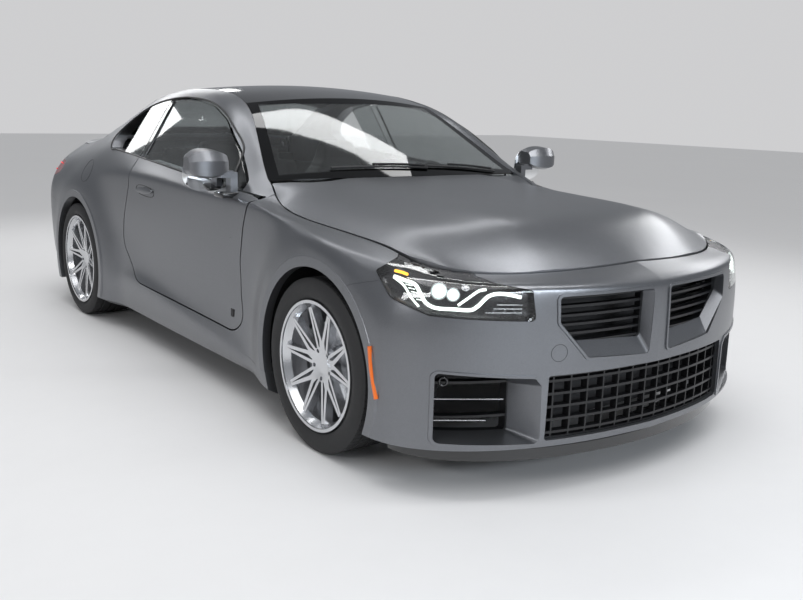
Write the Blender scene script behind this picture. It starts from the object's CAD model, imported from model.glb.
# %% [markdown]
# # A low two-door coupe, dressed in Blender
# The car's solids come from CAD and already have the right shapes, gaps and hinges.
# This lesson gives them their finishes, and adds the pieces that are too fine for the
# solids: tyre treads, lamp insides, seals, wipers, upholstery and the small trims.

# %% Load the frame
import math
import bpy
from mathutils import Matrix, Vector
from mathutils.bvhtree import BVHTree


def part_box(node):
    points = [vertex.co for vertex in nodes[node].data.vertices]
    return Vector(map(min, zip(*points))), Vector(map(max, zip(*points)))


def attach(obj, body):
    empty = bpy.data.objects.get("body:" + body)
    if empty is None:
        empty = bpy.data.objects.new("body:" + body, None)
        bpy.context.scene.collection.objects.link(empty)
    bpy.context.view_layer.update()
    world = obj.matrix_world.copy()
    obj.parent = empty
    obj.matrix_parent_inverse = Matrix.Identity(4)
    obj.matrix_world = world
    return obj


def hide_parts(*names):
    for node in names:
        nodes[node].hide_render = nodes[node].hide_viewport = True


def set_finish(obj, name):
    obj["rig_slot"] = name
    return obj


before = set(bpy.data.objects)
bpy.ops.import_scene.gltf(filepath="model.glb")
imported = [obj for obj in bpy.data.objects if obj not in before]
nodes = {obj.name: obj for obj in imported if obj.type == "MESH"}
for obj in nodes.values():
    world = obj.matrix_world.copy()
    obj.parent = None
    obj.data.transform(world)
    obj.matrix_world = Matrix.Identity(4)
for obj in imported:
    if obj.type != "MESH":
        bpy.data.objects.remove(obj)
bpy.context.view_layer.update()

# %% [markdown]
# ## The camera
# The photograph was solved for its camera from the wheels, the door and the lamps.
# The same numbers give a direction for each picture point, which later places the
# light guides inside the lamps.

# %% Camera
EYE = Vector((-2.66397, -4.26795, 1.30781))
YAW = math.radians(37.085)
PITCH = math.radians(-12.044)
ROLL = math.radians(1.559)
LENS = 40.76
SENSOR = 36.0
PICTURE = (803, 600)
FAR = 200

ahead = Vector((math.sin(YAW) * math.cos(PITCH), math.cos(YAW) * math.cos(PITCH), math.sin(PITCH)))
level = ahead.cross(Vector((0, 0, 1))).normalized()
upward = level.cross(ahead)
side_axis = math.cos(ROLL) * level + math.sin(ROLL) * upward
top_axis = -math.sin(ROLL) * level + math.cos(ROLL) * upward

bpy.ops.object.select_all(action="DESELECT")
bpy.ops.object.camera_add(location=EYE)
camera = bpy.context.object
camera.name = "photo_camera"
axes = Matrix((side_axis, top_axis, -ahead)).transposed().to_4x4()
camera.matrix_world = Matrix.Translation(EYE) @ axes
camera.data.lens = LENS
camera.data.sensor_width = SENSOR
camera.data.clip_end = FAR
bpy.context.scene.camera = camera


def sight(column, row):
    """The direction in which the camera sees a point of the picture."""
    pixels = LENS / SENSOR * PICTURE[0]
    across = (column - PICTURE[0] / 2) / pixels
    down = (row - PICTURE[1] / 2) / pixels
    return (ahead + across * side_axis - down * top_axis).normalized()


print("camera at", tuple(round(v, 2) for v in EYE))

# %% [markdown]
# ## Floor, room light and lamps
# A plain pale floor carries the car's shadow under a wide soft sun, which lights it
# evenly as far as the horizon. The world is as pale as the floor to the camera, and
# darker to reflections, so that the paint's sides stay deep. Long narrow lamps overhead
# draw the streaks of light that show the creases of a satin paint.

# %% Floor and light
FLOOR_SIZE = 60
PALE = (0.62, 0.62, 0.63, 1)
ROOM_COLOR = (0.74, 0.75, 0.77, 1)
ROOM_STRENGTH = 0.40
REFLECTED_COLOR = (0.70, 0.73, 0.78, 1)
REFLECTED_STRENGTH = 0.34
SUN_ENERGY = 1.35
SUN_WIDTH = math.radians(60)
SUN_TURN = (math.radians(14), math.radians(-12), 0)
PLAIN_LIGHT = (1.0, 1.0, 1.0)
COOL_LIGHT = (0.86, 0.93, 1.0)
# Name, place, aim, length and width, power, colour
LAMPS = (("lamp_over_bonnet", (-0.5, -2.1, 3.6), (0.0, -1.3, 0.6), (4.6, 0.35), 50, PLAIN_LIGHT),
         ("lamp_over_roof", (0.2, 1.2, 4.2), (0.0, 0.6, 0.8), (5.0, 0.5), 40, PLAIN_LIGHT),
         ("lamp_front_right", (-4.9, -2.6, 2.3), (-0.7, -1.2, 0.5), (2.6, 0.45), 36, PLAIN_LIGHT),
         ("lamp_nose", (-0.3, -6.2, 1.9), (0.0, -2.2, 0.5), (3.2, 0.6), 95, COOL_LIGHT),
         ("lamp_left", (4.5, -1.0, 2.8), (0.5, 0.0, 0.6), (3.0, 0.6), 38, PLAIN_LIGHT),
         ("lamp_behind", (0.0, 5.2, 2.8), (0.0, 1.6, 0.7), (4.0, 0.6), 40, PLAIN_LIGHT))

bpy.ops.mesh.primitive_plane_add(size=FLOOR_SIZE, location=(0, 0, 0))
floor = bpy.context.object
floor.name = "studio_floor"

world = bpy.data.worlds.new("pale_room")
bpy.context.scene.world = world
world.use_nodes = True
room = world.node_tree
room.nodes.clear()
rays = room.nodes.new("ShaderNodeLightPath")
out = room.nodes.new("ShaderNodeOutputWorld")


def room_light(color, strength):
    """An even light from all round."""
    node = room.nodes.new("ShaderNodeBackground")
    node.inputs["Color"].default_value = color
    node.inputs["Strength"].default_value = strength
    return node.outputs[0]


def choose(ray, first, second):
    """The second light for rays of one kind, and the first for the others."""
    node = room.nodes.new("ShaderNodeMixShader")
    room.links.new(rays.outputs[ray], node.inputs[0])
    room.links.new(first, node.inputs[1])
    room.links.new(second, node.inputs[2])
    return node.outputs[0]


reflected = room_light(REFLECTED_COLOR, REFLECTED_STRENGTH)
lit = choose("Is Glossy Ray", room_light(ROOM_COLOR, ROOM_STRENGTH), reflected)
lit = choose("Is Transmission Ray", lit, room_light(PALE, 1.0))
lit = choose("Is Camera Ray", lit, room_light(PALE, 1.0))
room.links.new(lit, out.inputs[0])

bpy.ops.object.light_add(type="SUN", location=(0, 0, 6), rotation=SUN_TURN)
sun = bpy.context.object
sun.name = "wide_soft_sun"
sun.data.energy = SUN_ENERGY
sun.data.angle = SUN_WIDTH
for name, place, aim, size, power, color in LAMPS:
    bpy.ops.object.light_add(type="AREA", location=place)
    lamp = bpy.context.object
    lamp.name = name
    lamp.rotation_euler = (Vector(aim) - Vector(place)).to_track_quat("-Z", "Y").to_euler()
    lamp.data.shape = "RECTANGLE"
    lamp.data.size = size[0]
    lamp.data.size_y = size[1]
    lamp.data.energy = power
    lamp.data.color = color
bpy.context.scene.view_settings.view_transform = "Standard"
print(len(LAMPS), "lamps")

# %% [markdown]
# ## Shared effects
# Three effects come back in most finishes: a slow change of tone with a finer one over
# it, a fine grain that a Bump node reads, and the sparkle of metal flakes in paint. Each
# is a node group that reads the Object coordinates, so it stays on the surface.

# %% Node helpers
FLOAT = "NodeSocketFloat"
COLOR = "NodeSocketColor"
# Numbers of a colour Mix node's sockets
MIX_FACTOR = 0
MIX_FIRST = 6
MIX_SECOND = 7
MIX_RESULT = 2


def effect(name, inputs, outputs):
    """An empty node group, with its given values, its results and the place on the surface."""
    group = bpy.data.node_groups.new(name, "ShaderNodeTree")
    for label, kind in inputs:
        group.interface.new_socket(name=label, in_out="INPUT", socket_type=kind)
    for label, kind in outputs:
        group.interface.new_socket(name=label, in_out="OUTPUT", socket_type=kind)
    start = group.nodes.new("NodeGroupInput")
    end = group.nodes.new("NodeGroupOutput")
    place = group.nodes.new("ShaderNodeTexCoord").outputs["Object"]
    return group, start.outputs, end.inputs, place


def fill(tree, node, slot, term):
    """A node's input gets a link from a socket, or a plain value."""
    if isinstance(term, bpy.types.NodeSocket):
        tree.links.new(term, node.inputs[slot])
    else:
        node.inputs[slot].default_value = term


def value(tree, operation, *terms):
    """A Math node; each term is a socket or a number."""
    node = tree.nodes.new("ShaderNodeMath")
    node.operation = operation
    for slot, term in enumerate(terms):
        fill(tree, node, slot, term)
    return node.outputs[0]


def mixed(tree, kind, factor, first, second):
    """A colour Mix node; each term is a socket or a value."""
    node = tree.nodes.new("ShaderNodeMix")
    node.data_type = "RGBA"
    node.blend_type = kind
    for slot, term in ((MIX_FACTOR, factor), (MIX_FIRST, first), (MIX_SECOND, second)):
        fill(tree, node, slot, term)
    return node.outputs[MIX_RESULT]


def brightened(tree, color, swing):
    """A colour made brighter or darker by a swing round zero."""
    gain = value(tree, "ADD", swing, 1.0)
    grey = tree.nodes.new("ShaderNodeCombineColor")
    for channel in range(3):
        tree.links.new(gain, grey.inputs[channel])
    return mixed(tree, "MULTIPLY", 1.0, color, grey.outputs[0])


def noise(tree, place, scale, factor, detail):
    """A noise texture whose scale is a socket times a factor."""
    node = tree.nodes.new("ShaderNodeTexNoise")
    node.inputs["Detail"].default_value = detail
    tree.links.new(place, node.inputs["Vector"])
    tree.links.new(value(tree, "MULTIPLY", scale, factor), node.inputs["Scale"])
    return node.outputs["Fac"]


def cells(tree, place, scale):
    """A texture of small cells."""
    node = tree.nodes.new("ShaderNodeTexVoronoi")
    tree.links.new(place, node.inputs["Vector"])
    tree.links.new(scale, node.inputs["Scale"])
    return node.outputs


# %% Node groups
SLOW_FACTOR = 1.0
SLOW_DETAIL = 3.0
FINE_FACTOR = 17.0
FINE_DETAIL = 5.0
ROUGHNESS_SHARE = 0.6
GRAIN_FACTOR = 0.6
GRAIN_DETAIL = 4.0

tone_group, given, end, place = effect(
    "tone_and_dust", (("Color", COLOR), ("Roughness", FLOAT), ("Scale", FLOAT), ("Amount", FLOAT)),
    (("Color", COLOR), ("Roughness", FLOAT)))
slow = noise(tone_group, place, given["Scale"], SLOW_FACTOR, SLOW_DETAIL)
fine = noise(tone_group, place, given["Scale"], FINE_FACTOR, FINE_DETAIL)
both = value(tone_group, "SUBTRACT", value(tone_group, "ADD", slow, fine), 1.0)
swing = value(tone_group, "MULTIPLY", both, given["Amount"])
tone_group.links.new(brightened(tone_group, given["Color"], swing), end["Color"])
rougher = value(tone_group, "MULTIPLY", swing, ROUGHNESS_SHARE)
tone_group.links.new(value(tone_group, "ADD", given["Roughness"], rougher), end["Roughness"])

grain_group, given, end, place = effect("fine_grain", (("Scale", FLOAT),), (("Height", FLOAT),))
pits = cells(grain_group, place, given["Scale"])["Distance"]
rough = noise(grain_group, place, given["Scale"], GRAIN_FACTOR, GRAIN_DETAIL)
grain_group.links.new(value(grain_group, "ADD", pits, rough), end["Height"])

flake_group, given, end, place = effect(
    "metal_flakes", (("Color", COLOR), ("Scale", FLOAT), ("Amount", FLOAT)), (("Color", COLOR),))
flakes = flake_group.nodes.new("ShaderNodeSeparateColor")
flake_group.links.new(cells(flake_group, place, given["Scale"])["Color"], flakes.inputs[0])
swing = value(flake_group, "SUBTRACT", flakes.outputs[0], 0.5)
swing = value(flake_group, "MULTIPLY", swing, given["Amount"])
flake_group.links.new(brightened(flake_group, given["Color"], swing), end["Color"])
print("effects", tone_group.name, grain_group.name, flake_group.name)

# %% [markdown]
# ## Finishes
# Every finish is one Principled shader. Its colour and roughness pass through the tone
# effect and its relief comes from the grain effect, each at the scale of the real
# surface: fine for paint and lacquer, coarser for moulded plastic, cast metal and leather.

# %% Finish maker
FLAKE_SCALE = 1400.0
GRAIN_HEIGHT = 0.001


def group_node(tree, group, **values):
    """A group placed in a material with its own values."""
    node = tree.nodes.new("ShaderNodeGroup")
    node.node_tree = group
    for label, number in values.items():
        node.inputs[label].default_value = number
    return node


def shader_of(mat):
    """The Principled shader of a material."""
    return mat.node_tree.nodes["Principled BSDF"]


def finish(name, color, roughness, metallic, tone, grain, flakes=0.0, **shader):
    """A named finish. Tone is a scale and an amount, and grain a scale and a strength."""
    mat = bpy.data.materials.new(name)
    mat.use_nodes = True
    tree = mat.node_tree
    skin = shader_of(mat)
    skin.inputs["Metallic"].default_value = metallic
    for label, number in shader.items():
        skin.inputs[label.replace("_", " ")].default_value = number
    base = group_node(tree, tone_group, Color=(*color, 1), Roughness=roughness, Scale=tone[0], Amount=tone[1])
    color_out = base.outputs["Color"]
    if flakes:
        sparkle = group_node(tree, flake_group, Scale=FLAKE_SCALE, Amount=flakes)
        tree.links.new(color_out, sparkle.inputs["Color"])
        color_out = sparkle.outputs["Color"]
    tree.links.new(color_out, skin.inputs["Base Color"])
    tree.links.new(base.outputs["Roughness"], skin.inputs["Roughness"])
    relief = group_node(tree, grain_group, Scale=grain[0])
    bump = tree.nodes.new("ShaderNodeBump")
    bump.inputs["Strength"].default_value = grain[1]
    bump.inputs["Distance"].default_value = GRAIN_HEIGHT
    tree.links.new(relief.outputs["Height"], bump.inputs["Height"])
    tree.links.new(bump.outputs["Normal"], skin.inputs["Normal"])
    return mat


finishes = {
    "paint": finish("satin_grey_paint", (0.200, 0.206, 0.220), 0.33, 0.88, (1.6, 0.05), (700, 0.02), 0.35,
                    Coat_Weight=0.25, Coat_Roughness=0.32),
    "black_gloss": finish("black_lacquer", (0.010, 0.010, 0.011), 0.10, 0.0, (2.5, 0.15), (500, 0.01),
                          Coat_Weight=0.8, Coat_Roughness=0.04),
    "black_plastic": finish("grained_black_plastic", (0.016, 0.016, 0.017), 0.42, 0.0, (4.0, 0.22),
                            (650, 0.25)),
    "alloy": finish("bright_wheel_lacquer", (0.66, 0.67, 0.69), 0.22, 0.92, (5.0, 0.08), (900, 0.03), 0.15,
                    Coat_Weight=0.6, Coat_Roughness=0.08),
    "underbody": finish("underbody_coating", (0.035, 0.035, 0.037), 0.62, 0.0, (3.0, 0.3), (260, 0.4)),
    "chassis_steel": finish("coated_steel", (0.085, 0.085, 0.088), 0.45, 0.6, (5.0, 0.3), (400, 0.2)),
    "cast_metal": finish("cast_aluminium", (0.36, 0.36, 0.37), 0.48, 0.9, (6.0, 0.25), (330, 0.35)),
    "exhaust_metal": finish("polished_tail_pipe", (0.55, 0.55, 0.56), 0.16, 1.0, (8.0, 0.2), (900, 0.03)),
    "cabin_plastic": finish("soft_cabin_plastic", (0.020, 0.020, 0.022), 0.55, 0.0, (4.0, 0.2), (800, 0.35)),
    "seat_leather": finish("black_leather", (0.022, 0.021, 0.021), 0.47, 0.0, (5.0, 0.25), (420, 0.5),
                           Sheen_Weight=0.08),
    "tyre_rubber": finish("tyre_rubber", (0.017, 0.017, 0.018), 0.66, 0.0, (4.0, 0.3), (500, 0.3)),
    "headlamp": finish("lamp_housing", (0.012, 0.012, 0.014), 0.25, 0.0, (6.0, 0.2), (500, 0.05)),
    "tail_lamp": finish("red_lamp_lens", (0.30, 0.006, 0.008), 0.10, 0.0, (6.0, 0.12), (500, 0.02),
                        Coat_Weight=0.8, Coat_Roughness=0.04),
}
mirror_silver = finish("mirror_silver", (0.86, 0.87, 0.88), 0.03, 1.0, (3.0, 0.04), (900, 0.005))
bright_metal = finish("brushed_bright_metal", (0.50, 0.50, 0.51), 0.28, 1.0, (7.0, 0.15), (600, 0.1))
amber_lens = finish("amber_lens", (0.80, 0.16, 0.02), 0.14, 0.0, (9.0, 0.15), (700, 0.05),
                    Coat_Weight=0.6, Coat_Roughness=0.05)
grille_black = finish("grille_black", (0.007, 0.007, 0.008), 0.38, 0.0, (6.0, 0.25), (700, 0.12))
plate_white = finish("bare_plate", (0.62, 0.62, 0.60), 0.35, 0.0, (5.0, 0.08), (900, 0.03))
floor_grey = finish("pale_floor", (0.66, 0.66, 0.665), 0.62, 0.0, (0.5, 0.03), (60, 0.02))
floor.data.materials.append(floor_grey)
print(len(finishes), "finishes")

# %% [markdown]
# Windows are clear tinted glass. The windscreen and the rear window have a black printed
# border, which is a mask of places on the car, so it is the same from every side. Lamps
# need a clear lens, and light guides that glow.

# %% Glass and lights
BORDER_BLACK = (0.001, 0.001, 0.001, 1)
# Half width of the clear part: at the ground, and its change with height
SCREEN_EDGE = (1.200, -0.53)
SCREEN_BOW = -0.055
SCREEN_HEIGHTS = (1.018, 1.312)
REAR_HEIGHTS = (1.135, 1.315)
REAR_HALF_WIDTH = 0.66


def outside(tree, number, span):
    """1 where a number is below or above a span."""
    below = value(tree, "LESS_THAN", number, span[0])
    above = value(tree, "GREATER_THAN", number, span[1])
    return value(tree, "MAXIMUM", below, above)


def screen_border(tree, x, z):
    """1 near the windscreen's sides, its foot and its header."""
    edge = value(tree, "MULTIPLY_ADD", z, SCREEN_EDGE[1], SCREEN_EDGE[0])
    near_side = value(tree, "GREATER_THAN", value(tree, "ABSOLUTE", x), edge)
    bow = value(tree, "MULTIPLY", value(tree, "MULTIPLY", x, x), SCREEN_BOW)
    rise = value(tree, "SUBTRACT", z, bow)
    return value(tree, "MAXIMUM", near_side, outside(tree, rise, SCREEN_HEIGHTS))


def rear_border(tree, x, z):
    """1 near the rear window's foot and header, and 0 on the quarter windows beside it."""
    inside = value(tree, "LESS_THAN", value(tree, "ABSOLUTE", x), REAR_HALF_WIDTH)
    return value(tree, "MULTIPLY", outside(tree, z, REAR_HEIGHTS), inside)


def glass(name, color, border=None):
    """Clear glass, with a black border where the mask says so."""
    mat = finish(name, color, 0.02, 0.0, (2.0, 0.04), (900, 0.002), Transmission_Weight=1.0, IOR=1.45)
    if border:
        tree = mat.node_tree
        spot = tree.nodes.new("ShaderNodeSeparateXYZ")
        tree.links.new(tree.nodes.new("ShaderNodeTexCoord").outputs["Object"], spot.inputs[0])
        mask = border(tree, spot.outputs["X"], spot.outputs["Z"])
        base = shader_of(mat).inputs["Base Color"]
        tree.links.new(mixed(tree, "MIX", mask, base.links[0].from_socket, BORDER_BLACK), base)
    return mat


def glow(name, color, strength):
    """A light guide: pale plastic that gives light of its own."""
    mat = finish(name, tuple(0.5 * c for c in color), 0.3, 0.0, (12.0, 0.1), (900, 0.05))
    shader_of(mat).inputs["Emission Color"].default_value = (*color, 1)
    shader_of(mat).inputs["Emission Strength"].default_value = strength
    return mat


finishes["glass"] = glass("tinted_window", (0.50, 0.53, 0.53))
screen_glass = glass("windscreen_glass", (0.62, 0.65, 0.65), screen_border)
back_glass = glass("rear_window_glass", (0.42, 0.45, 0.45), rear_border)
lens_clear = glass("clear_lamp_lens", (0.93, 0.94, 0.95))
guide_white = glow("white_light_guide", (0.90, 1.0, 0.93), 2.2)
projector_light = glow("projector_glow", (0.80, 1.0, 0.95), 1.5)
guide_amber = glow("amber_light", (1.0, 0.45, 0.03), 2.5)
guide_red = glow("red_light_guide", (0.9, 0.02, 0.02), 0.7)
display_glow = glow("dim_display", (0.03, 0.05, 0.08), 0.4)

for obj in nodes.values():
    for slot in obj.material_slots:
        slot.material = finishes[slot.material.name.split(".")[0]]
for name, mat in (("windscreen", screen_glass), ("rear_glass", back_glass), ("grilles", grille_black)):
    nodes[name].material_slots[0].material = mat
print("finished", len(nodes), "nodes")

# %% [markdown]
# ## Helpers for modelling
# Each helper does one thing that the same hand movement would do in the window: start
# from a primitive, shape it, apply modifiers, and put the piece on its body. Most pieces
# come in pairs, so they are made on one side and mirrored.

# %% Helpers for pieces
# Degrees between faces up to which a piece is shaded smooth
ROUND = 60
EDGED = 40
MERGE = 0.00005


def alone(obj):
    """Only this object is selected and active."""
    bpy.ops.object.select_all(action="DESELECT")
    obj.select_set(True)
    bpy.context.view_layer.objects.active = obj


def modify(obj, kind, **settings):
    """Add a modifier and apply it."""
    alone(obj)
    change = obj.modifiers.new(kind.lower(), kind)
    for label, setting in settings.items():
        setattr(change, label, setting)
    bpy.ops.object.modifier_apply(modifier=change.name)
    return obj


def done(obj, name, mat, slot, body="body", smooth=EDGED):
    """Name a piece, apply its place, give it its finish and put it on its body."""
    alone(obj)
    obj.name = name
    obj.data.name = name
    bpy.ops.object.transform_apply(location=True, rotation=True, scale=True)
    obj.data.materials.clear()
    obj.data.materials.append(mat)
    bpy.ops.object.shade_smooth_by_angle(angle=math.radians(smooth))
    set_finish(obj, slot)
    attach(obj, body)
    return obj


def free_copy(source):
    """A copy of an object with its own mesh, off its body and at the origin."""
    obj = source.copy()
    obj.data = source.data.copy()
    bpy.context.scene.collection.objects.link(obj)
    obj.parent = None
    obj.matrix_world = Matrix.Identity(4)
    return obj


def other_side(obj, body="body"):
    """A mirrored copy of a finished piece, named for the other side."""
    old, new = ("left", "right") if "left" in obj.name else ("right", "left")
    twin = free_copy(obj)
    twin.data.transform(Matrix.Scale(-1, 4, (1, 0, 0)))
    twin.data.flip_normals()
    twin.name = obj.name.replace(old, new)
    twin.data.name = twin.name
    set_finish(twin, obj["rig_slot"])
    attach(twin, body)
    return twin


def merged_copy(node):
    """A free copy of a node whose double vertices are merged."""
    obj = free_copy(nodes[node])
    for label in list(obj.keys()):
        if label.startswith("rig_"):
            del obj[label]
    alone(obj)
    bpy.ops.object.mode_set(mode="EDIT")
    bpy.ops.mesh.select_all(action="SELECT")
    bpy.ops.mesh.remove_doubles(threshold=MERGE)
    bpy.ops.mesh.select_all(action="DESELECT")
    bpy.ops.object.mode_set(mode="OBJECT")
    return obj


# %% Helpers for shapes
def block(low, high, soft, turn=(0, 0, 0)):
    """A box between two corners with bevelled edges."""
    low = Vector(low)
    high = Vector(high)
    bpy.ops.object.select_all(action="DESELECT")
    bpy.ops.mesh.primitive_cube_add(size=1, location=(low + high) / 2)
    obj = bpy.context.object
    obj.scale = high - low
    bpy.ops.object.transform_apply(location=False, rotation=False, scale=True)
    obj.rotation_euler = turn
    return modify(obj, "BEVEL", width=soft, segments=3)


def rod(points, radius, name, mat, slot, body="body", closed=False):
    """A finished round bar through points."""
    curve = bpy.data.curves.new("rod", "CURVE")
    curve.dimensions = "3D"
    line = curve.splines.new("POLY")
    line.points.add(len(points) - 1)
    for spot, place in zip(line.points, points):
        spot.co = (*place, 1)
    line.use_cyclic_u = closed
    curve.bevel_depth = radius
    curve.bevel_resolution = 2
    curve.use_fill_caps = not closed
    obj = bpy.data.objects.new("rod", curve)
    bpy.context.scene.collection.objects.link(obj)
    alone(obj)
    bpy.ops.object.convert(target="MESH")
    return done(bpy.context.object, name, mat, slot, body, ROUND)


def ring(radius, wire, place, turn, steps, name, mat, slot):
    """A finished round ring; steps are counted round the ring and round its wire."""
    bpy.ops.object.select_all(action="DESELECT")
    bpy.ops.mesh.primitive_torus_add(major_radius=radius, minor_radius=wire, major_segments=steps[0],
                                     minor_segments=steps[1], location=place, rotation=turn)
    return done(bpy.context.object, name, mat, slot, "body", ROUND)


def plate(points, push, soft):
    """A flat face through points, pushed into a slab with soft edges."""
    bpy.ops.object.select_all(action="DESELECT")
    bpy.ops.mesh.primitive_circle_add(vertices=len(points), fill_type="NGON")
    obj = bpy.context.object
    for vertex, place in zip(obj.data.vertices, points):
        vertex.co = place
    bpy.ops.object.mode_set(mode="EDIT")
    bpy.ops.mesh.select_all(action="SELECT")
    bpy.ops.mesh.extrude_region_move(TRANSFORM_OT_translate={"value": push})
    bpy.ops.mesh.select_all(action="SELECT")
    bpy.ops.mesh.normals_make_consistent(inside=False)
    bpy.ops.object.mode_set(mode="OBJECT")
    return modify(obj, "BEVEL", width=soft, segments=2, limit_method="ANGLE")


# %% Helpers for places
FRONT_AXLE = -1.435
trees = {}


def touch(names, origin, direction):
    """Where a ray first meets one of the named nodes, the surface's direction and the reach."""
    best = None
    for name in names:
        if name not in trees:
            mesh = nodes[name].data
            corners = [vertex.co for vertex in mesh.vertices]
            trees[name] = BVHTree.FromPolygons(corners, [face.vertices for face in mesh.polygons])
        place, normal, _, reach = trees[name].ray_cast(Vector(origin), Vector(direction))
        if place and (best is None or reach < best[2]):
            best = (place, normal, reach)
    return best


def through(points, steps, closed=False):
    """Points along a smooth line through the given ones."""
    count = len(points)
    line = []
    for i in range(count if closed else count - 1):
        around = []
        for k in (i - 1, i, i + 1, i + 2):
            around.append(Vector(points[k % count] if closed else points[min(max(k, 0), count - 1)]))
        a, b, c, d = around
        for k in range(steps):
            u = k / steps
            line.append(0.5 * (2 * b + (c - a) * u + (2 * a - 5 * b + 4 * c - d) * u * u
                               + (3 * b - a - 3 * c + d) * u ** 3))
    return line if closed else line + [Vector(points[-1])]


def between(first, last, share):
    """The value at a share of the way from the first to the last."""
    return first + (last - first) * share


def rounded(wide, tall, power, count):
    """The outline of a rounded oblong, as places across and up from its middle."""
    spots = []
    for i in range(count):
        across = math.cos(math.tau * i / count)
        up = math.sin(math.tau * i / count)
        spots.append((math.copysign(abs(across) ** power, across) * wide / 2,
                      math.copysign(abs(up) ** power, up) * tall / 2))
    return spots


def station(behind_front_axle):
    """Metres along the car from millimetres behind the front axle."""
    return FRONT_AXLE + behind_front_axle / 1000


print("helpers ready")

# %% [markdown]
# ## Tyres
# A tyre's solid is a plain ring. Here its section is drawn with a bulging side wall, a
# rim guard, a rounded shoulder and four grooves round the tread, and spun about the
# axle. The ribs between the grooves are then inset as blocks, as on a summer tyre.

# %% Tyres
# Shares of the half width, and of the way from the rim to the tread
SIDE_SHARES = ((0.80, 0.0), (0.87, 0.03), (0.93, 0.10), (0.935, 0.13), (0.985, 0.28), (1.0, 0.46),
               (0.99, 0.62), (0.965, 0.76), (0.93, 0.88), (0.885, 0.95))
# Shares of the half width, and of the groove's depth
TREAD_SHARES = ((0.83, 0), (0.60, 0), (0.585, 1), (0.53, 1), (0.515, 0), (0.20, 0), (0.185, 1),
                (0.115, 1), (0.10, 0))
INNER_SHARE = 0.70
INNER_WALL = 0.004
RIM_GAP = 0.0005
TREAD_MARGIN = 0.0035
TREAD_CROWN = 0.002
GROOVE = 0.0065
TREAD_BAND = 0.006
BLOCK_EDGE = 0.0016
BLOCK_RISE = 0.0022
TYRE_STEPS = 84
TYRE_MERGE = 0.0002
TYRE_SMOOTH = 28


def tyre_section(rim, radius, half):
    """A tyre's section as a closed line: (across, radius)."""
    outer = [(half * a, rim + (radius - rim) * b) for a, b in SIDE_SHARES]
    for a, deep in TREAD_SHARES:
        outer.append((half * a, radius - TREAD_MARGIN - GROOVE * deep + TREAD_CROWN * (1 - a * a)))
    outline = outer + [(-a, b) for a, b in reversed(outer)]
    return outline + [(side * half * INNER_SHARE, rim + INNER_WALL) for side in (-1, 1)]


def make_tyre(name, body):
    """A spun tyre with tread blocks in the place of a tyre's solid."""
    low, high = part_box(name)
    rim_low, rim_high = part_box(name.replace("tyre", "rim"))
    radius = (high.z - low.z) / 2
    outline = tyre_section((rim_high.z - rim_low.z) / 2 + RIM_GAP, radius, (high.x - low.x) / 2)
    bpy.ops.object.select_all(action="DESELECT")
    bpy.ops.mesh.primitive_circle_add(vertices=len(outline))
    obj = bpy.context.object
    for vertex, (across, up) in zip(obj.data.vertices, outline):
        vertex.co = (across, 0, up)
    bpy.ops.object.mode_set(mode="EDIT")
    bpy.ops.mesh.select_all(action="SELECT")
    bpy.ops.mesh.spin(steps=TYRE_STEPS, angle=math.tau, center=(0, 0, 0), axis=(1, 0, 0))
    bpy.ops.mesh.select_all(action="SELECT")
    bpy.ops.mesh.remove_doubles(threshold=TYRE_MERGE)
    bpy.ops.mesh.normals_make_consistent(inside=False)
    bpy.ops.mesh.select_all(action="DESELECT")
    bpy.ops.object.mode_set(mode="OBJECT")
    for face in obj.data.polygons:
        middle = face.center
        reach = math.hypot(middle.y, middle.z)
        outward = (face.normal.y * middle.y + face.normal.z * middle.z) / reach
        face.select = outward > 0.9 and reach > radius - TREAD_BAND
    bpy.ops.object.mode_set(mode="EDIT")
    bpy.ops.mesh.select_mode(type="FACE")
    bpy.ops.mesh.inset(thickness=BLOCK_EDGE, depth=BLOCK_RISE, use_individual=True)
    bpy.ops.mesh.select_mode(type="VERT")
    bpy.ops.object.mode_set(mode="OBJECT")
    obj.location = (low + high) / 2
    tyre = done(obj, "tread_" + name, finishes["tyre_rubber"], "tyre_rubber", body, TYRE_SMOOTH)
    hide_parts(name)
    return tyre


for corner in ("front_left", "front_right", "rear_left", "rear_right"):
    tyre = make_tyre("tyre_" + corner, "wheel_" + corner)
    print(tyre.name, len(tyre.data.polygons), "faces")

# %% [markdown]
# ## Headlamps
# The lamp's solid is split by the way its faces look. The outward faces become a thin
# clear lens, and the rest a black housing with a thin wall. Inside go three glowing
# guides with a comb between two of them, two projectors and a small bright lamp, an
# amber lamp and three bright fins. Their picture points are followed along the camera's
# sight to the lens, and set a little behind it.

# %% Lens and housing
LENS_WALL = 0.0025
HOUSING_WALL = 0.0015
LOOK_LIMIT = 0.35


def part_of(node, keep, name, mat, thickness):
    """The faces of a node that a test keeps, with a thin wall inwards."""
    obj = merged_copy(node)
    for face in obj.data.polygons:
        face.select = not keep(face)
    bpy.ops.object.mode_set(mode="EDIT")
    bpy.ops.mesh.select_mode(type="FACE")
    bpy.ops.mesh.delete(type="FACE")
    bpy.ops.mesh.select_mode(type="VERT")
    bpy.ops.object.mode_set(mode="OBJECT")
    modify(obj, "SOLIDIFY", thickness=thickness, offset=-1.0)
    return done(obj, name, mat, "headlamp")


def looks_out(face):
    """Whether a face looks forward and to its own side."""
    side = 1 if face.center.x > 0 else -1
    return face.normal.dot(Vector((0.6 * side, -0.8, 0.1))) > LOOK_LIMIT


lens = part_of("headlamps", looks_out, "headlamp_lenses", lens_clear, LENS_WALL)
housing = part_of("headlamps", lambda face: not looks_out(face), "headlamp_housings",
                  finishes["headlamp"], HOUSING_WALL)
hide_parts("headlamps")
print("lens", len(lens.data.polygons), "housing", len(housing.data.polygons))

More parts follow.
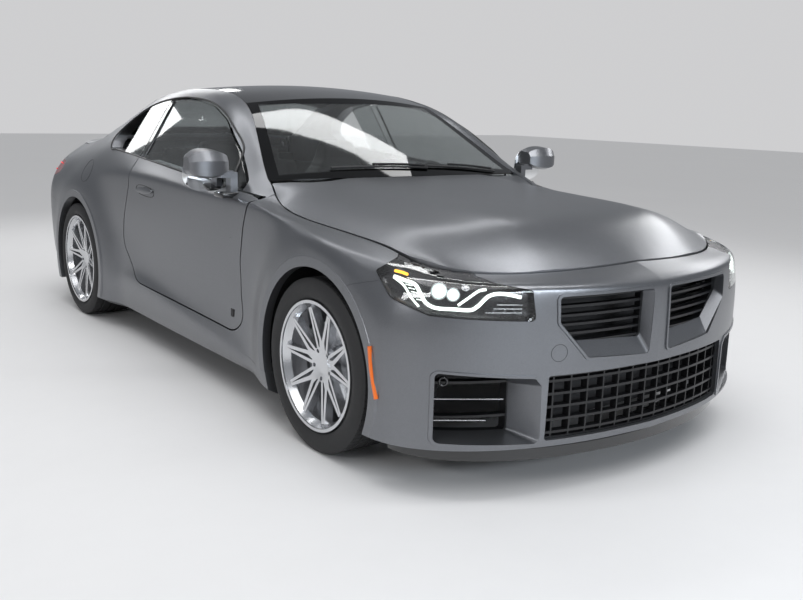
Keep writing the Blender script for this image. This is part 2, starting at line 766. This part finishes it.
# %% Lamp insides
# Picture points, column and row
MAIN_GUIDE = ((393.4, 274.8), (404, 279), (414.2, 283.3), (420, 294), (425.5, 303.0), (435.7, 308.1),
              (454.5, 309.6), (470.6, 310.4), (478.7, 306.1), (489.4, 296.2), (502.8, 293.8), (522, 297.6))
SECOND_GUIDE = ((392.5, 276.0), (402.5, 284.5), (410, 297), (418.0, 306.4))
THIRD_GUIDE = ((458, 305.6), (468, 298.6), (479, 290.8), (486.5, 288.6))
AMBER = ((394.5, 268.6), (401, 270.0), (407, 272.2))
# Both ends of each fin, and of the two lines that the comb's teeth join
FINS = (((497.5, 305.2), (523.0, 305.4)), ((494.0, 309.2), (523.0, 309.4)),
        ((486.0, 313.4), (522.3, 313.4)))
COMB = (((403, 281), (417, 301)), ((410, 283), (423, 302)))
COMB_COUNT = 5
GUIDE_RADII = (("main_guide", MAIN_GUIDE, 0.0062), ("second_guide", SECOND_GUIDE, 0.0035),
               ("third_guide", THIRD_GUIDE, 0.0045))
GUIDE_DEPTH = 0.010
FIN_DEPTH = 0.008
FIN_RADIUS = 0.0022
COMB_RADIUS = 0.0014
AMBER_RADIUS = 0.005
# Column, row, radius and finish
PROJECTORS = ((438.4, 290.5, 0.024, projector_light), (453.0, 294.5, 0.019, projector_light),
              (466.0, 285.0, 0.010, bright_metal))
PROJECTOR_DEPTH = 0.017
PROJECTOR_FLAT = 0.45
BEZEL_SHARE = 1.12
BEZEL_WIRE = 0.0022
BEZEL_STEPS = (40, 8)


def behind_lens(spot, depth):
    """A place behind the right lamp's lens, from a point of the picture."""
    found = touch(["headlamps"], EYE, sight(*spot))
    return found[0] - found[1] * depth if found else None


def lamp_path(spots, depth=GUIDE_DEPTH):
    """Places behind the lens for those picture points that meet it."""
    places = [behind_lens(spot, depth) for spot in spots]
    return [place for place in places if place]


def picture_point(first, last, share):
    """A picture point at a share of the way between two."""
    return tuple(between(a, b, share) for a, b in zip(first, last))


for name, spots, radius in GUIDE_RADII:
    other_side(rod(through(lamp_path(spots), 5), radius, name + "_right", guide_white, "headlamp"))
for i, (first, last) in enumerate(FINS):
    path = lamp_path([picture_point(first, last, k / 4) for k in range(5)], FIN_DEPTH)
    other_side(rod(path, FIN_RADIUS, "lamp_fin_right_%d" % i, bright_metal, "headlamp"))
for i in range(COMB_COUNT):
    tooth = lamp_path([picture_point(first, last, (i + 0.5) / COMB_COUNT) for first, last in COMB])
    if len(tooth) == 2:
        other_side(rod(tooth, COMB_RADIUS, "guide_comb_right_%d" % i, guide_white, "headlamp"))
other_side(rod(lamp_path(AMBER), AMBER_RADIUS, "lamp_amber_right", guide_amber, "headlamp"))

for i, (column, row, radius, mat) in enumerate(PROJECTORS):
    centre = behind_lens((column, row), PROJECTOR_DEPTH)
    turn = touch(["headlamps"], EYE, sight(column, row))[1].to_track_quat("Z", "Y").to_euler()
    bpy.ops.object.select_all(action="DESELECT")
    bpy.ops.mesh.primitive_uv_sphere_add(segments=32, ring_count=16, radius=radius, location=centre)
    eye = bpy.context.object
    eye.scale = (1, 1, PROJECTOR_FLAT)
    eye.rotation_euler = turn
    other_side(done(eye, "projector_right_%d" % i, mat, "headlamp", "body", ROUND))
    other_side(ring(radius * BEZEL_SHARE, BEZEL_WIRE, centre, turn, BEZEL_STEPS,
                    "projector_bezel_right_%d" % i, bright_metal, "headlamp"))
print("lamp insides placed")

# %% [markdown]
# ## Window seals and the post
# A black seal runs round the side windows. Its outline is known from the solids in the
# side view, so each point is dropped onto the car from the side, and a thin bar follows.

# %% Side seals
CAR_HEIGHT = 1.403
BESIDE = 1.3
INWARD = (-1, 0, 0)
# Millimetres behind the front axle, and shares of the car's height
WINDOW_SHARES = ((906, 0.7715), (1167, 0.876), (1373, 0.920), (1580, 0.9375), (1827, 0.9405),
                 (2121, 0.914), (2346, 0.848), (2453, 0.786), (2384, 0.7315), (2244, 0.7305),
                 (1802, 0.711), (1299, 0.6875), (901, 0.666))
POST_STATION = 1871
POST_SHARES = (0.722, 0.76, 0.80, 0.84, 0.88, 0.925)
SIDE_NODES = ["door_left", "door_glass_left", "body_side_left", "rear_glass"]
SEAL_PROUD = 0.0012
SEAL_RADIUS = 0.0052
POST_RADIUS = 0.007


def on_side(behind, height):
    """A place just proud of the car's left side."""
    found = touch(SIDE_NODES, (BESIDE, station(behind), height), INWARD)
    return found[0] + found[1] * SEAL_PROUD if found else None


outline = through([Vector((0, behind, CAR_HEIGHT * share)) for behind, share in WINDOW_SHARES], 8, True)
seal_line = [on_side(spot.y, spot.z) for spot in outline]
seal = rod([p for p in seal_line if p], SEAL_RADIUS, "window_seal_left", finishes["black_plastic"],
           "black_plastic", closed=True)
other_side(seal)
post_line = [on_side(POST_STATION, CAR_HEIGHT * share) for share in POST_SHARES]
post = rod([p for p in post_line if p], POST_RADIUS, "window_post_left", finishes["black_gloss"],
           "black_gloss")
other_side(post)
print("seal faces", len(seal.data.polygons))

# %% [markdown]
# ## Door handles, reflectors, intakes and caps
# The flush handles follow the door's skin, with a thin dark gap round them. The amber
# reflectors are placed by their picture points. Two thin blades and a round sensor stand
# in each side intake, and thin dark rings mark the fuel flap and the tow cap.

# %% Flush handles
HANDLE_STATION = 1727
HANDLE_HEIGHT = 0.845
HANDLE_SIZE = (0.215, 0.034)
HANDLE_POWER = 0.9
HANDLE_STEPS = 28
HANDLE_TURN = -0.045
HANDLE_THICK = 0.012
HANDLE_PROUD = 0.003
HANDLE_SOFT = 0.002
BESIDE_HANDLE = 1.4
GAP_HEIGHT = 0.843
GAP_SIZE = (0.232, 0.052)
GAP_POWER = 0.8
GAP_STEPS = 40
GAP_SLOPE = 0.045
GAP_RADIUS = 0.0016

hits = []
for across, up in rounded(*HANDLE_SIZE, HANDLE_POWER, HANDLE_STEPS):
    along = math.cos(HANDLE_TURN) * across - math.sin(HANDLE_TURN) * up
    rise = math.sin(HANDLE_TURN) * across + math.cos(HANDLE_TURN) * up
    origin = (BESIDE_HANDLE, station(HANDLE_STATION) + along, HANDLE_HEIGHT + rise)
    hits.append(touch(["door_left"], origin, INWARD))
normal = sum((hit[1] for hit in hits), Vector()).normalized()
outline = [tuple(hit[0] + normal * (HANDLE_PROUD + HANDLE_THICK / 2)) for hit in hits]
handle = plate(outline, tuple(-normal * HANDLE_THICK), HANDLE_SOFT)
handle = done(handle, "door_handle_left", finishes["paint"], "paint", "door_left")
other_side(handle, "door_right")

gap_line = []
for along, up in rounded(*GAP_SIZE, GAP_POWER, GAP_STEPS):
    origin = (BESIDE, station(HANDLE_STATION) + along, GAP_HEIGHT + up + GAP_SLOPE * along)
    gap_line.append(touch(["door_left"], origin, INWARD)[0])
gap = rod(gap_line, GAP_RADIUS, "handle_gap_left", finishes["black_plastic"], "black_plastic",
          "door_left", True)
other_side(gap, "door_right")

# %% Reflectors, intakes and caps
REFLECTOR_SIGHT = ((369.5, 346), (371.5, 372), (376, 399))
REFLECTOR_RADIUS = 0.0085
# Both ends of each blade: across, millimetres behind the front axle, height
BLADES = (((-0.826, -530, 0.338), (-0.590, -680, 0.338)), ((-0.826, -530, 0.262), (-0.640, -650, 0.262)))
BLADE_RADIUS = 0.0026
SENSOR_PLACE = (-0.770, station(-572), 0.402)
SENSOR_TURN = (math.pi / 2, 0, -0.5)
SENSOR_RADIUS = 0.014
SENSOR_WIRE = 0.0045
SENSOR_STEPS = (40, 10)
FLAP_STATION = 2623
FLAP_HEIGHT = 0.885
FLAP_SIZE = (0.132, 0.128)
FLAP_STEPS = 48
FLAP_GAP = 0.0012
CAP_ACROSS = -0.450
CAP_HEIGHT = 0.508
CAP_SIZE = 0.060
CAP_STEPS = 32
CAP_GAP = 0.0009
IN_FRONT = -3.0

seen = [touch(["front_fenders", "front_bumper"], EYE, sight(*spot)) for spot in REFLECTOR_SIGHT]
line = through([hit[0] for hit in seen if hit], 8)
other_side(rod(line, REFLECTOR_RADIUS, "side_reflector_right", amber_lens, "tail_lamp"))
for i, blade_ends in enumerate(BLADES):
    line = [(x, station(behind), z) for x, behind, z in blade_ends]
    other_side(rod(line, BLADE_RADIUS, "intake_blade_right_%d" % i, bright_metal, "black_gloss"))
other_side(ring(SENSOR_RADIUS, SENSOR_WIRE, SENSOR_PLACE, SENSOR_TURN, SENSOR_STEPS,
                "intake_sensor_right", finishes["black_gloss"], "black_gloss"))

flap = []
for along, up in rounded(*FLAP_SIZE, 1, FLAP_STEPS):
    origin = (-BESIDE, station(FLAP_STATION) + along, FLAP_HEIGHT + up)
    flap.append(touch(["body_side_right"], origin, (1, 0, 0))[0])
rod(flap, FLAP_GAP, "fuel_flap_gap", finishes["black_plastic"], "black_plastic", closed=True)
cap = []
for across, up in rounded(CAP_SIZE, CAP_SIZE, 1, CAP_STEPS):
    hit = touch(["front_bumper"], (CAP_ACROSS + across, IN_FRONT, CAP_HEIGHT + up), (0, 1, 0))
    if hit:
        cap.append(hit[0])
rod(cap, CAP_GAP, "tow_cap_gap", finishes["black_plastic"], "black_plastic", closed=True)
print("trims placed, cap points", len(cap))

# %% [markdown]
# ## Mirrors
# A silver glass stands on the back of each mirror's housing, and a black foot below it.

# %% Mirrors
# Shares of the mirror's width and height
MIRROR_SHARES = ((0.13, 0.20), (0.35, 0.10), (0.70, 0.12), (0.92, 0.30), (0.93, 0.62), (0.75, 0.86),
                 (0.40, 0.90), (0.15, 0.72))
MIRROR_PROUD = 0.0015
MIRROR_THICK = 0.006
MIRROR_SOFT = 0.001
BEHIND_MIRROR = 0.3
# Corners of the foot, from the mirror's inner edge, middle line and lower edge
FOOT_LOW = Vector((0.004, -0.045, -0.004))
FOOT_HIGH = Vector((0.085, 0.040, 0.020))
FOOT_SOFT = 0.006

low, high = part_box("mirror_left")
outline = [Vector((between(low.x, high.x, a), 0, between(low.z, high.z, b))) for a, b in MIRROR_SHARES]
outline = through(outline, 4, True)
hits = [touch(["mirror_left"], (p.x, high.y + BEHIND_MIRROR, p.z), (0, -1, 0)) for p in outline]
back = max(hit[0].y for hit in hits if hit)
silver = plate([(p.x, back + MIRROR_PROUD, p.z) for p in outline], (0, -MIRROR_THICK, 0), MIRROR_SOFT)
other_side(done(silver, "mirror_glass_left", mirror_silver, "glass", "door_left"), "door_right")
inner = Vector((low.x, (low.y + high.y) / 2, low.z))
foot = block(inner + FOOT_LOW, inner + FOOT_HIGH, FOOT_SOFT)
foot = done(foot, "mirror_foot_left", finishes["black_gloss"], "black_gloss", "door_left")
other_side(foot, "door_right")
print("mirror box", [round(v, 3) for v in low], [round(v, 3) for v in high])

# %% [markdown]
# ## Wipers, antenna and the rear
# Two wiper arms with blades lie on the foot of the windscreen. A small fin stands on the
# roof. The tail gets red guides in its lamps, a bare number plate and bright pipe rims.

# %% Wipers
# Name, both ends across the car, and both ends in millimetres behind the front axle
WIPERS = (("wiper_far", (0.10, -0.42), (640, 690)), ("wiper_near", (0.56, 0.02), (668, 655)))
WIPER_RADIUS = 0.0055
BLADE_PROUD = 0.008
BLADE_BOW = 24
ARM_PROUD = 0.015
ARM_SHARE = 0.55
ARM_SHIFT = 0.02
ARM_BEHIND = 14
ARM_LEAN = 4


def on_screen(x, behind, proud):
    """A place above the windscreen's foot."""
    hit = touch(["windscreen", "cowl", "bonnet"], (x, station(behind), 1.6), (0, 0, -1))
    return hit[0] + hit[1] * proud


for name, across, behind in WIPERS:
    blade = []
    for k in range(11):
        bow = BLADE_BOW * (k / 10 - 0.5) ** 2
        blade.append(on_screen(between(*across, k / 10), between(*behind, k / 10) + bow, BLADE_PROUD))
    rod(blade, WIPER_RADIUS, name + "_blade", finishes["black_plastic"], "black_plastic")
    arm = []
    for k in range(9):
        share = k / 8 * ARM_SHARE
        place = between(*behind, share) + ARM_BEHIND - ARM_LEAN * k / 8
        arm.append(on_screen(between(*across, share) - ARM_SHIFT, place, ARM_PROUD))
    rod(arm, WIPER_RADIUS, name + "_arm", finishes["black_gloss"], "black_gloss")

# %% Antenna fin
FIN_STATION = 2210
# Along the car and up, from the fin's foot
FIN_OUTLINE = ((-0.075, 0.0), (-0.050, 0.012), (-0.015, 0.030), (0.030, 0.046), (0.052, 0.048),
               (0.064, 0.040), (0.070, 0.0))
FIN_HALF = 0.006
FIN_SUNK = 0.006
FIN_SOFT = 0.004
FIN_RISE = 0.045
# Times the width at the foot and at the top
FIN_WIDTHS = (2.6, 0.6)
FIN_SMOOTH = 50

top = touch(["roof_panel"], (0, station(FIN_STATION), 2), (0, 0, -1))[0]
outline = [(FIN_HALF, top.y + along, top.z - FIN_SUNK + up) for along, up in FIN_OUTLINE]
fin = plate(outline, (-2 * FIN_HALF, 0, 0), FIN_SOFT)
for vertex in fin.data.vertices:
    rise = max(0.0, min(1.0, (vertex.co.z - top.z) / FIN_RISE))
    vertex.co.x *= between(*FIN_WIDTHS, rise)
done(fin, "roof_antenna", finishes["black_gloss"], "black_gloss", "body", FIN_SMOOTH)

# %% Tail
BEHIND = 3.2
FORWARD = (0, -1, 0)
GUIDE_INNER = 0.575
GUIDE_MARGIN = 0.03
GUIDE_STEPS = 16
GUIDE_SHARES = (0.30, 0.62)
GUIDE_SLANT = 0.12
GUIDE_PROUD = 0.001
GUIDE_RADIUS = 0.0045
PLATE_HEIGHT = 0.56
# Half width, half height, places of the faces behind the bumper's skin, and edge
FRAME_BLOCK = (0.268, 0.064, -0.020, 0.004, 0.004)
PLATE_BLOCK = (0.260, 0.056, 0.001, 0.006, 0.0015)
PIPES = (0.270, 0.385, -0.270, -0.385)
PIPE_HEIGHT = 0.275
PIPE_RADIUS = 0.0440
PIPE_WIRE = 0.0022
PIPE_STEPS = (64, 8)

low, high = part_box("tail_lamps")
for k, foot_share in enumerate(GUIDE_SHARES):
    row = []
    for i in range(GUIDE_STEPS + 1):
        x = between(GUIDE_INNER, high.x - GUIDE_MARGIN, i / GUIDE_STEPS)
        height = between(low.z, high.z, foot_share + GUIDE_SLANT * i / GUIDE_STEPS)
        hit = touch(["tail_lamps"], (x, BEHIND, height), FORWARD)
        if hit:
            row.append(hit[0] + hit[1] * GUIDE_PROUD)
    if len(row) > 3:
        other_side(rod(row, GUIDE_RADIUS, "tail_guide_left_%d" % k, guide_red, "tail_lamp"))

skin = touch(["rear_bumper", "boot_lid"], (0, BEHIND, PLATE_HEIGHT), FORWARD)[0]


def plate_block(wide, tall, near, far, soft):
    """A block on the tail, centred at the number plate's place."""
    return block((-wide, skin.y + near, PLATE_HEIGHT - tall), (wide, skin.y + far, PLATE_HEIGHT + tall), soft)


done(plate_block(*FRAME_BLOCK), "plate_frame", finishes["black_plastic"], "black_plastic")
done(plate_block(*PLATE_BLOCK), "bare_number_plate", plate_white, "black_plastic")
pipe_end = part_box("exhaust")[1].y
for i, x in enumerate(PIPES):
    ring(PIPE_RADIUS, PIPE_WIRE, (x, pipe_end, PIPE_HEIGHT), (math.pi / 2, 0, 0), PIPE_STEPS,
         "pipe_rim_%d" % i, finishes["exhaust_metal"], "exhaust_metal")
print("tail done, plate at", round(skin.y, 3))

# %% [markdown]
# ## Upholstery
# A seat's solid is plain. Its copy is closed with a voxel remesh, softened, and crowned
# between its seams: two long seams down the cushion and the backrest, and cross channels
# between them. The foam swells between the seams, as real upholstery does.

# %% Upholstery
SEAM_SHARE = 0.62
SEAM_DEPTH = 0.006
SEAM_WIDTH = 0.006
CHANNEL_SHARE = 0.58
CHANNEL_DEPTH = 0.0045
CHANNEL_WIDTH = 0.007
CHANNEL_PITCH = 0.085
CHANNEL_SLOPE = 0.6
CROWN = 0.004
SHRINK = 0.003
SOFTENING = 0.6
SOFT_ROUNDS = 9
# Node, name, middles of the places across the car, half a place's width, voxel size
SEATS = (("front_seats", "front_seat_pads", (-0.385, 0.385), 0.245, 0.011),
         ("rear_seat", "rear_seat_pads", (-0.29, 0.29), 0.26, 0.012))


def groove(distance, width):
    """1 in the middle of a groove, falling to 0 beside it."""
    return math.exp(-(distance / width) ** 2)


def sinking(place, middles, half):
    """How far the upholstery lies inside the softened seat at a place."""
    off = min(abs(place.x - middle) for middle in middles)
    across = off / half
    seam = groove(off - SEAM_SHARE * half, SEAM_WIDTH)
    channel = 0.0
    if across < CHANNEL_SHARE:
        path = place.y * CHANNEL_SLOPE + place.z
        channel = groove(path % CHANNEL_PITCH - CHANNEL_PITCH / 2, CHANNEL_WIDTH)
        channel *= 1 - (across / CHANNEL_SHARE) ** 4
    crown = 0.5 + 0.5 * math.cos(math.pi * min(1.0, across))
    return SEAM_DEPTH * seam + CHANNEL_DEPTH * channel - CROWN * crown + SHRINK


def upholster(node, name, middles, half, voxel):
    """Padded upholstery in the place of a seat's solid."""
    obj = merged_copy(node)
    modify(obj, "REMESH", mode="VOXEL", voxel_size=voxel)
    modify(obj, "SMOOTH", factor=SOFTENING, iterations=SOFT_ROUNDS)
    looks = [vertex.normal.copy() for vertex in obj.data.vertices]
    for vertex, look in zip(obj.data.vertices, looks):
        vertex.co -= look * sinking(vertex.co, middles, half)
    obj = done(obj, name, finishes["seat_leather"], "seat_leather", "body", ROUND)
    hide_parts(node)
    return obj


for seat in SEATS:
    pads = upholster(*seat)
    print(pads.name, len(pads.data.polygons), "faces")

# %% [markdown]
# ## Dashboard
# A dim curved display stands on the dashboard, and four bright vents lie along its face.

# %% Dashboard
DASH_ABOVE = (0.385, station(960), 1.4)
# Corners: across the car, and along and up from the dashboard's top
DISPLAY = ((-0.02, -0.060, -0.005), (0.60, -0.048, 0.105))
DISPLAY_SOFT = 0.004
DISPLAY_TURN = (math.radians(-12), 0, 0)
VENTS = (-0.45, -0.30, 0.0, 0.16)
VENT_LOW = Vector((-0.055, 0.002, -0.075))
VENT_HIGH = Vector((0.055, 0.012, -0.045))
VENT_SOFT = 0.003

dash = touch(["dashboard"], DASH_ABOVE, (0, 0, -1))[0]
corners = [(x, dash.y + along, dash.z + up) for x, along, up in DISPLAY]
done(block(*corners, DISPLAY_SOFT, DISPLAY_TURN), "curved_display", display_glow, "cabin_plastic")
for i, x in enumerate(VENTS):
    middle = Vector((x, dash.y, dash.z))
    vent = block(middle + VENT_LOW, middle + VENT_HIGH, VENT_SOFT)
    done(vent, "air_vent_%d" % i, bright_metal, "cabin_plastic")
print("dash top", [round(v, 2) for v in dash])
